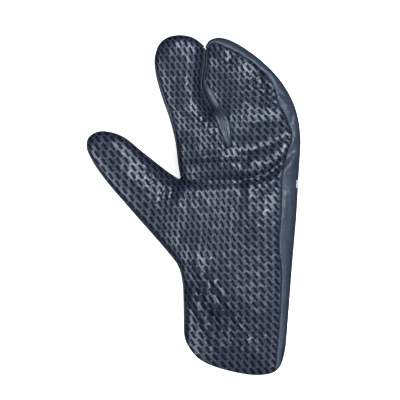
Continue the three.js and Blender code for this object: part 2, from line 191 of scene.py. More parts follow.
# The edge of the strip below the split: down its right side, round its point and up its left side
STRIP_EDGE = [
    (26.4, 79),
    (29.9, 71.5),
    (31.5, 63),
    (31.8, 54),
    (29.8, 48.6),
    (27.0, 53.5),
    (22.6, 64),
    (19.6, 71.5),
    (16.9, 76.5),
    (14.9, 79),
]

# How far above the strip the split's own seam starts
STRIP_LEAD = 3

# The cuff's free edge on the palm side
HEM = [
    (-8.9, -104),
    (-7.6, -113.6),
    (-5, -120),
    (3.5, -130.6),
    (15.6, -137.2),
    (42.1, -144.2),
    (57, -145.4),
    (69.3, -143),
    (74.2, -138.5),
    (76.9, -132.1),
    (79.4, -121),
]

# How far that edge is drawn past its two ends, and the room that it leaves at a corner
HEM_START_BY = (-3, 0.6)
HEM_END_BY = (3, 1.5)
HEM_CORNER = 0.3

# The edge on the back: its share of that bulge, the height from which the share grows, and how it is fitted
HEM_BACK_SHARE = 0.5
HEM_SHARE_FROM = 2
HEM_BACK_POINTS = 70
HEM_BACK_ROUNDS = 30

# How far the palm cloth drops towards its edge at the cuff
HEM_DROP = 1.6
HEM_DROP_WIDE = 3.2

# Folds: x and y of three points, the widths on the left and right of the way through them, and the height
FOLDS = [
    (-14, 21, 18, 21, 50, 22, 3.2, 5.5, -3.0),
    (40, 20.5, 66, 29, 90, 52, 3.6, 4.4, -4.6),
    (47, 33, 46.5, 8, 45, -14, 12.0, 3.2, 2.0),
    (54, 10, 70, 22, 88, 42, 3.4, 5.0, 1.8),
    (-8, 33, 20, 35, 46, 33, 4.0, 7.0, 2.2),
    (-12, 79, 8, 65, 23, 44, 9.0, 3.0, 2.6),
    (-13, 68, 4, 55, 18, 38, 3.4, 6.0, -1.8),
    (4, 130, 34, 117, 54, 92, 5.0, 4.4, 3.2),
    (57, 122, 65, 100, 62, 80, 3.2, 3.2, -2.4),
    (32, 46, 56, 49, 82, 64, 14.0, 7.0, -5.4),
    (-19, 12, -22, -4, -23, -20, 3.4, 3.6, -2.8),
    (-1, -44, 8, -62, 23, -90, 6.0, 5.0, 2.8),
    (-5, -56, 6, -77, 26, -112, 4.4, 4.4, -2.0),
    (-3, -74, 6, -92, 18, -122, 6.0, 5.0, 2.2),
    (17, -58, 31, -83, 48, -114, 5.0, 5.0, -2.2),
    (22, -86, 34, -105, 53, -130, 6.4, 5.0, 2.4),
    (82, -40, 81, -80, 78.5, -116, 4.0, 5.0, 1.6),
]

# Narrow folds that the CAD source leaves out, in the same columns
FINE_FOLDS = [
    (53, 99, 58, 88, 62, 76, 2.6, 1.3, 1.4),
    (60, 116, 70, 108, 78, 98, 3.0, 2.0, 1.1),
    (70, 104, 73, 94, 71, 84, 2.2, 1.6, 1.1),
    (66, 100, 74, 96, 82, 90, 1.6, 2.0, -1.2),
    (84.5, 83, 84.5, 75, 83.5, 69, 1.2, 1.2, -1.3),
    (56, 73, 72, 71, 84, 66, 2.4, 2.4, 0.7),
    (44, 72, 52, 70, 62, 72, 2.4, 2.4, 0.6),
    (-3, 4, 0, -12, -3, -28, 1.6, 1.4, 0.6),
    (4, 0, 3, -10, 5, -22, 1.6, 1.4, 0.5),
    (-14, 6, -11, -10, -12, -34, 4.0, 2.4, 2.2),
    (-30, 22, -25, 12, -26, 2, 2.2, 1.6, 0.9),
    (-8, 30, 0, 27.5, 10, 29, 2.0, 1.6, -0.7),
    (60, 34, 72, 40, 85, 52, 2.2, 2.4, 1.1),
    (28, 46, 44, 43, 62, 47, 3.4, 2.4, 0.8),
    (26, 60, 24, 53, 28, 44, 1.6, 1.4, 0.8),
    (47, 33, 46.5, 8, 45, -14, 9.0, 1.2, 1.5),
    (-1, -44, 8, -62, 23, -90, 10.0, 2.0, 3.0),
    (-4, -58, 7.5, -78, 27, -112, 1.9, 1.5, -2.8),
    (-4, -86, 4, -101, 14, -120, 1.7, 1.5, -2.2),
    (-3, -74, 6, -92, 18, -122, 9.0, 2.0, 3.0),
    (12, -58, 25, -79, 44, -110, 3.4, 2.0, -1.5),
    (22, -86, 34, -105, 53, -130, 9.0, 2.4, 1.2),
    (-70, 52, -62, 44, -52, 38, 3.4, 2.4, 0.8),
    (-62, 30, -50, 20, -40, 12, 3.4, 2.4, 0.8),
    (-26, 128, -22, 112, -16, 98, 3.0, 2.0, 0.6),
    (-1, 132, 3, 118, 4.4, 104, 1.6, 1.2, 1.4),
    (2, 130, 0, 108, 4, 92, 2.6, 9.0, 2.4),
    (-8, 104, -3, 92, 7, 82, 4.0, 9.0, 1.3),
    (12, 137, 40, 121, 61, 95, 6.0, 6.0, 1.2),
    (17.5, 81, 22.3, 69, 28.2, 53, 0.8, 0.8, 0.8),
    (19.8, 83, 24.3, 70, 28.9, 52, 0.8, 0.8, -0.8),
    (22.0, 82, 26.3, 69, 29.6, 53, 0.8, 0.8, 0.9),
    (24.2, 81, 28.3, 69, 30.4, 54, 0.8, 0.8, -0.8),
    (14, 92, 17, 84, 21, 76, 0.9, 0.9, 0.8),
]

# Broad hills and hollows: place, half lengths across and up, and height
HILLS = [
    (24, 6, 16, 26, -0.8),
    (60, -12, 18, 20, 1.4),
    (66, 16, 14, 12, -1.6),
    (68, -20, 18, 40, 0.6),
    (36, -152, 70, 44, -5.5),
    (-38, 16, 14, 16, 1.2),
    (3, -84, 38, 13, 2.0),
]

# Where the cloth is crumpled, in the same columns
CRUMPLES = [
    (18, 132, 7, 4, 0.5),
    (34, 121, 10, 8, 0.8),
    (50, 104, 9, 9, 0.8),
    (64, 96, 7, 14, 0.5),
    (4, 72, 11, 7, 0.5),
    (18, 54, 8, 10, 0.55),
    (60, 18, 14, 16, 0.45),
    (10, -62, 9, 18, 0.5),
    (10, -98, 11, 20, 0.5),
    (40, -112, 14, 14, 0.45),
    (-40, 22, 14, 16, 0.35),
    (82, 88, 9, 14, 0.5),
    (-24, 8, 9, 14, 0.3),
]

# Waves in the cloth: height, size and seed
CRUMPLE_WAVES = [(1, 5.5, 7), (0.5, 2.8, 8)]
PALM_WAVES = [(0.16, 9, 3), (0.06, 4, 4)]
BACK_WAVES = [(0.3, 14, 5), (0.12, 5, 6)]
WAVES_MIXED = 14
WAVE_SIZES = (0.75, 1.4)

# How a fold starts and ends, how many of its widths it reaches, and the dent along the seam
FOLD_START = 0.08
FOLD_SPAN = 0.84
FOLD_REACH = 3
SEAM_SINK = 0.9
SEAM_SINK_WIDE = 0.9

# Grip print: the lattice of the dashes in the flat cloth, and the slant of each dash
PRINT_PITCH = 6.4
PRINT_LEAN = math.radians(3.5)
PRINT_RISE = math.radians(2)
PRINT_AT = (40.3, -66.6)
DASH_SLANT = math.radians(-47)
PRINT_MARGIN = 4

# One dash: its height, its depth in the cloth, and the lines of its cells along and across it
DASH_HIGH = 0.2
DASH_SUNK = 0.15
DASH_S = (-3.3, -2.4, -1.45, -0.5, 0.5, 1.45, 2.4, 3.3)
DASH_T = (-1.5, -0.95, 0.0, 0.95, 1.5)

# Half of the length that a dash's two halves share, and the least number of cells that make a dash
DASH_SHARED = 0.5
LEAST_CELLS = 3

# How far off the flat cloth a point still counts as on it, and a height above the glove
OFF_FLAT = 0.02
ABOVE_ALL = 100.0

# Stitches beside the seam
STITCH_PITCH = 2.6
STITCH_LONG = 1.7
STITCH_THICK = 0.42
STITCH_END = 0.02
STITCH_ASIDE = 1.1
STITCH_LIFT = 0.05
STITCH_LINE_STEP = 0.4
STITCH_RINGS = 5
STITCH_SIDES = 6

# Reflective mark on the outer side: its stretch along the glove, and its lines of points inside the outline
MARK_FROM, MARK_TO = 14.6, 21.6
MARK_INSETS = np.linspace(0.12, 1.9, 9)
MARK_STEP = 0.35
MARK_LIFT = 0.12
MARK_THICK = 0.1

# How far to each side the cloth's slope is measured
SLOPE_STEP = 0.05

# Points worked on at a time, points in a stretch of a spline, and a number that stands for almost none
BATCH = 2000
SPLINE_POINTS = 32
TINY = 1e-12

# Curves


def spline(rows, step):
    """A centripetal spline through the rows, sampled evenly by its length in the plan."""
    p = np.asarray(rows, float)
    p = np.vstack([2 * p[0] - p[1], p, 2 * p[-1] - p[-2]])
    t = np.linspace(0, 1, SPLINE_POINTS, endpoint=False)[:, None]
    pieces = []
    for a, b, c, d in zip(p, p[1:], p[2:], p[3:]):
        e, f, g = (max(np.sum((v - u) ** 2) ** 0.25, 1e-6) for u, v in ((a, b), (b, c), (c, d)))
        start = ((b - a) / e - (c - a) / (e + f) + (c - b) / f) * f
        end = ((c - b) / f - (d - b) / (f + g) + (d - c) / g) * f
        pieces.append(
            b + start * t + (3 * (c - b) - 2 * start - end) * t**2 + (2 * (b - c) + start + end) * t**3
        )
    return resample(np.vstack([*pieces, p[-2][None]]), step)


def resample(line, step):
    """The line with its points at even steps along the plan."""
    gone = np.concatenate([[0], np.cumsum(np.linalg.norm(np.diff(line[:, :2], axis=0), axis=1))])
    count = max(2, int(round(gone[-1] / step)) + 1)
    even = np.linspace(0, gone[-1], count)
    return np.stack([np.interp(even, gone, line[:, k]) for k in range(line.shape[1])], 1)


def inward(line):
    """The direction to the left of travel, which is into the glove."""
    way = np.gradient(line[:, :2], axis=0)
    way /= np.linalg.norm(way, axis=1)[:, None]
    return np.stack([-way[:, 1], way[:, 0]], 1)


def shifted(line, by):
    return line[:, :2] + inward(line) * np.reshape(by, (-1, 1))


def nearest_index(line, place):
    return int(np.argmin(np.hypot(line[:, 0] - place[0], line[:, 1] - place[1])))


def meet(a, b):
    """Where two lines cross: the point, and the segments of each that it is on."""
    for i in range(len(a) - 1):
        d = a[i + 1] - a[i]
        e = b[1:] - b[:-1]
        cross = d[0] * e[:, 1] - d[1] * e[:, 0]
        cross = np.where(np.abs(cross) < TINY, TINY, cross)
        w = b[:-1] - a[i]
        s = (w[:, 0] * e[:, 1] - w[:, 1] * e[:, 0]) / cross
        t = (w[:, 0] * d[1] - w[:, 1] * d[0]) / cross
        hit = np.where((s >= 0) & (s < 1) & (t >= 0) & (t < 1))[0]
        if len(hit):
            return a[i] + s[hit[0]] * d, i, int(hit[0])
    raise ValueError("the lines don't cross")


def gap_to(points, line, closed=False):
    """How far each point is from a line, and how far along the line its nearest place is, from 0 to 1."""
    ends = np.vstack([line, line[:1]]) if closed else line
    a, d = ends[:-1], ends[1:] - ends[:-1]
    long = np.sum(d * d, 1) + TINY
    gaps, shares = np.empty(len(points)), np.empty(len(points))
    for k in range(0, len(points), BATCH):
        p = points[k : k + BATCH, None, :]
        t = np.clip(np.sum((p - a) * d, 2) / long, 0, 1)
        far = np.sum((p - a - t[..., None] * d) ** 2, 2)
        best = np.argmin(far, 1)
        row = np.arange(len(best))
        gaps[k : k + BATCH] = np.sqrt(far[row, best])
        shares[k : k + BATCH] = (best + t[row, best]) / len(a)
    return gaps, shares


def is_inside(points, polygon):
    """Whether each point is inside the polygon."""
    a, b = polygon, np.roll(polygon, -1, axis=0)
    inside = np.empty(len(points), bool)
    up = np.where(b[:, 1] == a[:, 1], TINY, b[:, 1] - a[:, 1])
    for k in range(0, len(points), BATCH):
        x, y = points[k : k + BATCH, 0, None], points[k : k + BATCH, 1, None]
        spans = (a[:, 1] > y) != (b[:, 1] > y)
        left = x < a[:, 0] + (y - a[:, 1]) * (b[:, 0] - a[:, 0]) / up
        inside[k : k + BATCH] = np.sum(spans & left, 1) % 2 == 1
    return inside


def close_slit(right, left):
    """Lays the left edge of the split against its right edge."""
    other = right[right[:, 0] < SLIT_REACH][::-1]
    touching = np.arange(len(left)) <= nearest_index(left, SPLIT_TOP_LEFT)
    against = np.interp(left[touching, 1], other[:, 1], other[:, 0]) - SLIT_OPEN
    left[touching, 0] = against
    left[0, :2] = right[-1, :2]


little_finger = spline(LITTLE_FINGER_EDGE, RIM_STEP)
lobe_a = spline(LOBE_A_EDGE, RIM_STEP)
thumb = spline(THUMB_EDGE, RIM_STEP)
close_slit(little_finger, lobe_a)
lobe_a[:, 2] *= LEFT_SEAM_SHARE
thumb[:, 2] *= LEFT_SEAM_SHARE
split_right = nearest_index(little_finger, SPLIT_TOP_RIGHT)
split_left = nearest_index(lobe_a, SPLIT_TOP_LEFT)
slit = np.vstack([little_finger[split_right:], lobe_a[1 : split_left + 1]])[:, :2]
left_side = np.vstack([lobe_a[split_left + 1 :], thumb[1:]])
right_side = little_finger[:split_right]
closed_outline = np.vstack([right_side[:, :2], slit, left_side[:, :2]])

# Heights


def depth_inside(points):
    """A smooth distance to the outline, from the angle under which each of its edges is seen."""
    a, b = closed_outline, np.roll(closed_outline, -1, axis=0)
    depth = np.empty(len(points))
    for k in range(0, len(points), BATCH):
        p = points[k : k + BATCH, None, :]
        u, v = a - p, b - p
        ru, rv = np.hypot(u[..., 0], u[..., 1]) + 1e-9, np.hypot(v[..., 0], v[..., 1]) + 1e-9
        cross = np.abs(u[..., 0] * v[..., 1] - u[..., 1] * v[..., 0])
        tangent = cross / (ru * rv + np.sum(u * v, 2) + 1e-9)
        depth[k : k + BATCH] = 2 / np.sum(tangent * (1 / ru + 1 / rv), 1)
    return depth


def rise(x, low, high):
    """A smooth step from 0 at low to 1 at high."""
    t = np.clip((x - low) / (high - low), 0, 1)
    return t * t * (3 - 2 * t)


def thumb_share(p):
    """How far out on the thumb each point is. It is 0 on the other side of the thumb's crotch."""
    side = THUMB_GAP_WAY[0] * (p[:, 1] - THUMB_CROTCH[1]) - THUMB_GAP_WAY[1] * (p[:, 0] - THUMB_CROTCH[0])
    return np.where(side > 0, rise(-p[:, 0], THUMB_FROM, THUMB_TO), 0)


def mixed(size, p):
    """A size that changes from the palm to the lobes and to the thumb."""
    share = thumb_share(p)
    lobe = (1 - share) * rise(p[:, 1], LOBE_FROM, LOBE_TO)
    return size["palm"] + (size["lobe"] - size["palm"]) * lobe + (size["thumb"] - size["palm"]) * share


def middle_height(p):
    """The height of the outline, from which the palm side bulges up and the back down."""
    share = thumb_share(p)
    lobe = rise(p[:, 1], LOBE_FROM, LOBE_RISE_TO) / rise(LOBE_TIP, LOBE_FROM, LOBE_RISE_TO)
    return MID_HEIGHT + THUMB_RISE * share + np.where(share > 0, 0, LOBE_RISE * lobe)


def relief(p, folds):
    """The height of all the folds at each point."""
    total = np.zeros(len(p))
    for x0, y0, x1, y1, x2, y2, left_width, right_width, height in folds:
        path = spline([(x0, y0), (x1, y1), (x2, y2)], FOLD_STEP)
        near = np.where(gap_box(p, path, FOLD_REACH * max(left_width, right_width)))[0]
        gap, share = gap_to(p[near], path)
        width = np.where(is_left(p[near], path, share), left_width, right_width)
        ends = np.sqrt(np.sin(np.pi * (FOLD_START + FOLD_SPAN * share)))
        total[near] += height * ends * np.exp(-((gap / width) ** 2))
    return total


def is_left(p, path, share):
    """Whether each point is to the left of the path, by the segment that is nearest to it."""
    k = np.minimum((share * (len(path) - 1)).astype(int), len(path) - 2)
    way, to = path[k + 1] - path[k], p - path[k]
    return way[:, 0] * to[:, 1] - way[:, 1] * to[:, 0] > 0


def gap_box(p, path, margin):
    low, high = path.min(0) - margin, path.max(0) + margin
    return np.all((p > low) & (p < high), axis=1)


def mounds(p, rows):
    """The height of all the hills and hollows at each point."""
    total = np.zeros(len(p))
    for x, y, across, up, height in rows:
        total += height * np.exp(-(((p[:, 0] - x) / across) ** 2) - ((p[:, 1] - y) / up) ** 2)
    return total


def one_wave(p, size, seed):
    """Smooth seeded noise of about 1 in height, with bumps of one size."""
    rng = np.random.default_rng(seed)
    total = np.zeros(len(p))
    for _ in range(WAVES_MIXED):
        angle, phase = rng.uniform(0, 2 * np.pi, 2)
        k = 2 * np.pi / (size * rng.uniform(*WAVE_SIZES))
        total += np.sin(k * (p[:, 0] * math.cos(angle) + p[:, 1] * math.sin(angle)) + phase)
    return total / math.sqrt(WAVES_MIXED)


def waves(p, rows):
    return sum(height * one_wave(p, size, seed) for height, size, seed in rows)


def dent(p, line, depth, wide):
    return depth * np.exp(-((gap_to(p, line)[0] / wide) ** 2))


def bulge(p, depth, full, roundness):
    """How far the cloth stands off the height of the outline."""
    return mixed(full, p) * np.sqrt(1 - np.exp(-2 * depth / mixed(roundness, p)))


def calm_edge(depth):
    """0 at the outline, where folds and waves die out, and 1 well inside."""
    return 1 - np.exp(-depth / EDGE_CALM)


def palm_height(p, fine=True):
    depth = depth_inside(p)
    calm = calm_edge(depth)
    broad = relief(p, FOLDS) + mounds(p, HILLS)
    height = middle_height(p) + bulge(p, depth, PALM_FULL, PALM_ROUND) + broad * calm
    if fine:
        crumpled = mounds(p, CRUMPLES) * waves(p, CRUMPLE_WAVES)
        height += (relief(p, FINE_FOLDS) + crumpled + waves(p, PALM_WAVES)) * calm
        height -= dent(p, all_seams, SEAM_SINK, SEAM_SINK_WIDE) * calm
        height -= dent(p, hem_palm, HEM_DROP, HEM_DROP_WIDE) * calm
    return height


def back_height(p, fine=True):
    depth = depth_inside(p)
    height = middle_height(p) - bulge(p, depth, BACK_FULL, BACK_ROUND)
    if fine:
        height += waves(p, BACK_WAVES) * calm_edge(depth)
    return np.maximum(0, height)


# Seams and the cuff's edge


def side_seam(line, step):
    """The seam inside one side of the outline, by the third column of its points."""
    rows = resample(line, step)
    return shifted(rows, rows[:, 2])


def split_seam():
    """The palm panel's seam down one side of the split, round the strip below it and up the other side."""
    clear = STRIP_EDGE[0][1] + STRIP_LEAD
    right = side_seam(little_finger[split_right:], SPLIT_SEAM_STEP)
    left = side_seam(lobe_a[: split_left + 1], SPLIT_SEAM_STEP)
    strip = spline(STRIP_EDGE, STRIP_SEAM_STEP)
    return np.vstack([right[right[:, 1] > clear], strip, left[left[:, 1] > clear]])


def back_split_seam():
    """The back's seam round the split, with an arc round the split's end."""
    right = shifted(little_finger[split_right:], BACK_SPLIT_INSET)
    left = shifted(lobe_a[: split_left + 1], BACK_SPLIT_INSET)
    end = little_finger[-1, :2]
    angles = [math.atan2(y - end[1], x - end[0]) % (2 * math.pi) for x, y in (right[-1], left[0])]
    angles = np.linspace(*angles, ARC_POINTS + 2)[1:-1]
    arc = end + BACK_SPLIT_INSET * np.stack([np.cos(angles), np.sin(angles)], 1)
    return np.vstack([right, arc, left])


seam_right = spline(side_seam(right_side, SIDE_SEAM_STEP), RIM_STEP)
seam_split = spline(split_seam(), RIM_STEP)
seam_left = spline(side_seam(left_side, SIDE_SEAM_STEP), RIM_STEP)
all_seams = np.vstack([seam_right, seam_split, seam_left])
hem_line = spline(HEM, RIM_STEP)
hem_palm = np.vstack([hem_line[0] + HEM_START_BY, hem_line, hem_line[-1] + HEM_END_BY])


def back_hem(start, end, count):
    """The cuff's edge on the back bulges less than on the palm side, by its height."""
    x = np.linspace(start[0], end[0], count)
    palm_y = np.interp(x, hem_palm[:, 0], hem_palm[:, 1])
    level = HEM[0][1] + (HEM[-1][1] - HEM[0][1]) * (x - HEM[0][0]) / (HEM[-1][0] - HEM[0][0])
    y = level + (palm_y - level) * HEM_BACK_SHARE
    for _ in range(HEM_BACK_ROUNDS):
        z = back_height(np.stack([x, y], 1), fine=False)
        share = HEM_BACK_SHARE + (1 - HEM_BACK_SHARE) * rise(z, HEM_SHARE_FROM, MID_HEIGHT)
        y += 0.5 * (level + (palm_y - level) * share - y)
    y[0], y[-1] = start[1], end[1]
    return np.stack([x, y], 1)


def hem_between(a, b, line):
    """The part of the cuff's edge from x of a to x of b, ends left out."""
    low, high = min(a[0], b[0]), max(a[0], b[0])
    part = line[(line[:, 0] > low + HEM_CORNER) & (line[:, 0] < high - HEM_CORNER)]
    return part if a[0] < b[0] else part[::-1]


def trimmed(line, at_start):
    """The line with what is below the cuff's edge cut off its start or its end."""
    if at_start:
        place, i, _ = meet(line, hem_palm)
        return np.vstack([place, line[i + 1 :]])
    place, i, _ = meet(line[::-1], hem_palm)
    return np.vstack([line[: len(line) - 1 - i], place])


right_rim = trimmed(right_side[:, :2], True)
left_rim = trimmed(left_side[:, :2], False)
hem_back = back_hem(left_rim[-1], right_rim[0], HEM_BACK_POINTS)
palm_right, palm_left = trimmed(seam_right, True), trimmed(seam_left, False)

# Meshes


def drop_close(points, least):
    """The points, with any that is closer than least to the one before it left out."""
    kept = [points[0]]
    for p in points[1:]:
        if np.hypot(*(p - kept[-1])) > least:
            kept.append(p)
    if np.hypot(*(kept[0] - kept[-1])) <= least:
        kept.pop()
    return np.array(kept)


def ring_points():
    """Rings of points inside the whole outline, which follow the cloth where it turns down to its edge."""
    line = np.vstack([right_rim, slit, left_rim])
    ways = np.vstack([inward(right_rim), inward(slit), inward(left_rim)])
    points = np.vstack([line + ways * inset for inset in RING_INSETS])
    gap, _ = gap_to(points, closed_outline, closed=True)
    return points[gap > np.repeat(RING_INSETS, len(line)) * RING_KEPT_FROM]


def lattice_points(polygon, step):
    """An even lattice inside the polygon, clear of the rings."""
    low, high = polygon.min(0), polygon.max(0)
    rows = np.arange(low[1], high[1], step * math.sqrt(0.75))
    columns = np.arange(low[0], high[0], step)
    x, y = np.meshgrid(columns, rows)
    x = x + (np.arange(len(rows)) % 2)[:, None] * step / 2
    points = np.stack([x.ravel(), y.ravel()], 1)
    points = points[is_inside(points, polygon)]
    gap, _ = gap_to(points, closed_outline, closed=True)
    return points[gap > RING_INSETS[-1] + step * LATTICE_OFF_RINGS]


def filled(polygon, step):
    """Triangles over a polygon, with rings along the outline and an even lattice inside them."""
    polygon = drop_close(polygon, OUTLINE_LEAST_STEP)
    inner = np.vstack([rings, lattice_points(polygon, step)])
    inner = inner[is_inside(inner, polygon)]
    to_edge, _ = gap_to(inner, polygon, closed=True)
    to_rim, _ = gap_to(inner, closed_outline, closed=True)
    ring_room = np.minimum(RING_OFF_EDGE_MOST, to_rim * RING_OFF_EDGE)
    room = np.where(to_rim < RINGS_END, ring_room, step * LATTICE_OFF_EDGE)
    points = np.vstack([polygon, inner[to_edge > room]])
    corners, _, faces, _, _, _ = geometry.delaunay_2d_cdt(
        [Vector(p) for p in points], [], [list(range(len(polygon)))], 1, 1e-5, False
    )
    corners = np.array([(v.x, v.y) for v in corners])
    middles = np.array([corners[list(f)].mean(0) for f in faces])
    return corners, [list(f) for f, kept in zip(faces, is_inside(middles, polygon)) if kept]


def oriented(points, faces, up):
    """The triangles turned to face up or down, without those that have no area."""
    kept = []
    for f in faces:
        a, b, c = (points[i] for i in f[:3])
        turn = (b[0] - a[0]) * (c[1] - a[1]) - (b[1] - a[1]) * (c[0] - a[0])
        if abs(turn) > 1e-9:
            kept.append(f if (turn > 0) == up else f[::-1])
    return kept


def sheet(polygon, side, step=CLOTH_STEP):
    """A polygon of the plan, laid on the palm side or on the back."""
    points, faces = filled(polygon, step)
    to_rim, _ = gap_to(points, closed_outline, closed=True)
    height = palm_height(points) if side == "palm" else back_height(points)
    height = np.where(to_rim < ON_RIM, middle_height(points), height)
    return points, height, oriented(points, faces, side == "palm")


def to_row(points):
    return (np.asarray(points, float) - ORIGIN) / 1000


def added(name, data):
    """A new object in the scene."""
    obj = bpy.data.objects.new(name, data)
    bpy.context.scene.collection.objects.link(obj)
    return obj


def make_object(name, points, faces):
    mesh = bpy.data.meshes.new(name)
    mesh.from_pydata(to_row(points).tolist(), [], faces)
    mesh.update()
    return added(name, mesh)


def smooth(obj):
    obj.data.polygons.foreach_set("use_smooth", [True] * len(obj.data.polygons))


def joined(name, sheets):
    """One mesh from several sheets that share their edges."""
    points, faces, count = [], [], 0
    for xy, height, triangles in sheets:
        points.append(np.column_stack([xy, height]))
        faces += [[i + count for i in f] for f in triangles]
        count += len(xy)
    obj = make_object(name, np.vstack(points), faces)
    bm = bmesh.new()
    bm.from_mesh(obj.data)
    bmesh.ops.remove_doubles(bm, verts=bm.verts, dist=WELDED)
    bm.to_mesh(obj.data)
    bm.free()
    return obj


def thicken(obj, thickness):
    solid = obj.modifiers.new("cloth", "SOLIDIFY")
    solid.thickness = thickness / 1000
    solid.offset = -1
    solid.use_even_offset = False
    smooth(obj)


rings = ring_points()
palm_loop = np.vstack(
    [palm_right, seam_split, palm_left, hem_between(palm_left[-1], palm_right[0], hem_palm)]
)
band_right = np.vstack([right_rim, palm_right[::-1], hem_between(palm_right[0], right_rim[0], hem_palm)])
band_left = np.vstack([left_rim, hem_between(left_rim[-1], palm_left[-1], hem_palm), palm_left[::-1]])
back_loop = np.vstack([right_rim, back_split_seam(), left_rim, hem_back[1:-1]])
fourchette_over = np.vstack([slit, seam_split[::-1]])
fourchette_under = np.vstack([slit, back_split_seam()[::-1]])

palm = joined("palm_cloth_panel", [sheet(palm_loop, "palm")])
back = joined(
    "back_cloth_panel",
    [sheet(band_right, "palm"), sheet(band_left, "palm"), sheet(back_loop, "back", BACK_STEP)],
)
fourchette = joined(
    "fourchette_cloth_panel",
    [sheet(fourchette_over, "palm", STRIP_STEP), sheet(fourchette_under, "back")],
)
for piece in (palm, back, fourchette):
    thicken(piece, THICKNESS)

# Grip print


def asked_steps(grid, height):
    """For each place of the grid, how far a step across and a step up the plan should go on the flat cloth.

    Such a step is as long as the step along the cloth, apart from what gather and bunching change.
    """
    slope = np.stack(np.gradient(height, FLAT_STEP), -1)
    steep = np.linalg.norm(slope, axis=-1)
    slope *= (np.minimum(steep, MOST_SLOPE) / np.maximum(steep, 1e-9))[..., None]
    steep = np.minimum(steep, MOST_SLOPE)
    stretch = ((np.sqrt(1 + steep**2) - 1) / np.maximum(steep**2, 1e-9))[..., None, None]
    steps = (np.eye(2) + stretch * slope[..., :, None] * slope[..., None, :]) * FLAT_STEP
    steps[..., 0, :] *= gather(grid)[..., None]
    steps[..., 1, :] *= bunching(grid)[..., None]
    return steps


def grid_faces(kept):
    """Two triangles for each cell of the grid whose four corners are kept."""
    ids = np.arange(kept.size).reshape(kept.shape)
    whole = kept[:-1, :-1] & kept[1:, :-1] & kept[1:, 1:] & kept[:-1, 1:]
    a, b, c, d = (ids[s][whole] for s in (np.s_[:-1, :-1], np.s_[1:, :-1], np.s_[1:, 1:], np.s_[:-1, 1:]))
    return np.vstack([np.stack([a, b, c], 1), np.stack([a, c, d], 1)])


def flat_cloth():
    """Lays the palm cloth flat without turning it: its flat points, its plan points and its triangles."""
    low, high = palm_loop.min(0) - FLAT_BORDER, palm_loop.max(0) + FLAT_BORDER
    x, y = np.arange(low[0], high[0], FLAT_STEP), np.arange(low[1], high[1], FLAT_STEP)
    grid = np.stack(np.meshgrid(x, y, indexing="ij"), -1)
    points = grid.reshape(-1, 2)
    kept = is_inside(points, palm_loop)
    near, _ = gap_to(points[~kept], palm_loop, closed=True)
    kept[~kept] = near < FLAT_MARGIN
    kept = kept.reshape(grid.shape[:2])
    height = np.zeros(kept.shape)
    wanted = grown(kept)
    height[wanted] = palm_height(grid[wanted], fine=False)
    steps = asked_steps(grid, height)
    flat = np.stack([least_squares_sum(steps[..., k, :], kept, grid[..., k]) for k in range(2)], -1)
    return flat.reshape(-1, 2), points, grid_faces(kept)


def gather(p):
    """How the print is drawn together across the palm, and apart across the cuff. 1 leaves it as it is."""
    edge = np.interp(p[..., 1], GATHER_EDGE_Y, GATHER_EDGE_X)
    share = thumb_share(p.reshape(-1, 2)).reshape(edge.shape)
    above = rise(p[..., 1], *GATHER_FROM_Y)
    side = 1 - rise(p[..., 0] - edge, -GATHER_BLEND, GATHER_BLEND)
    return 1 + (GATHER * above - CUFF_SPREAD * (1 - above)) * side * (1 - np.minimum(2 * share, 1))


def bunching(p):
    """How the print is drawn together lengthwise in the hollow below the fingertips."""
    off = (p - BUNCHED_AT) / BUNCHED_WIDE
    return 1 + BUNCHED * np.exp(-np.sum(off * off, -1))


def split_side(p):
    """-1 on the left of the split, 1 on its right and 0 below it."""
    line = lobe_a[: split_left + 1]
    side = np.where(p[:, 0] < np.interp(p[:, 1], line[:, 1], line[:, 0]), -1, 1)
    return np.where(p[:, 1] < line[0, 1], 0, side)


def grown(mask):
    """The mask and the cells beside it."""
    made = mask.copy()
    for axis in (0, 1):
        for by in (-1, 1):
            made |= np.roll(made, by, axis)
    return made


def least_squares_sum(steps, kept, start):
    """The field whose steps between neighbouring cells come closest to the steps asked for."""
    across = kept[1:, :] & kept[:-1, :]
    up = kept[:, 1:] & kept[:, :-1]
    want_across = np.where(across, (steps[1:, :, 0] + steps[:-1, :, 0]) / 2, 0)
    want_up = np.where(up, (steps[:, 1:, 1] + steps[:, :-1, 1]) / 2, 0)

    def gathered(d_across, d_up):
        total = np.zeros(kept.shape)
        total[1:, :] += d_across
        total[:-1, :] -= d_across
        total[:, 1:] += d_up
        total[:, :-1] -= d_up
        return total

    def spread(field):
        d_across = np.where(across, field[1:, :] - field[:-1, :], 0)
        d_up = np.where(up, field[:, 1:] - field[:, :-1], 0)
        return gathered(d_across, d_up)

    field = np.where(kept, start, 0.0)
    rest = gathered(want_across, want_up) - spread(field)
    way, size = rest.copy(), np.sum(rest * rest)
    for _ in range(FLAT_ROUNDS):
        moved = spread(way)
        share = size / max(np.sum(way * moved), 1e-30)
        field += share * way
        rest -= share * moved
        new_size = np.sum(rest * rest)
        if new_size < FLAT_ERROR:
            break
        way = rest + way * (new_size / size)
        size = new_size
    return field


def tree_of(points, faces):
    """A search tree over triangles in the plan or in the flat cloth."""
    level = np.column_stack([points, np.zeros(len(points))])
    return BVHTree.FromPolygons(level.tolist(), faces.tolist())


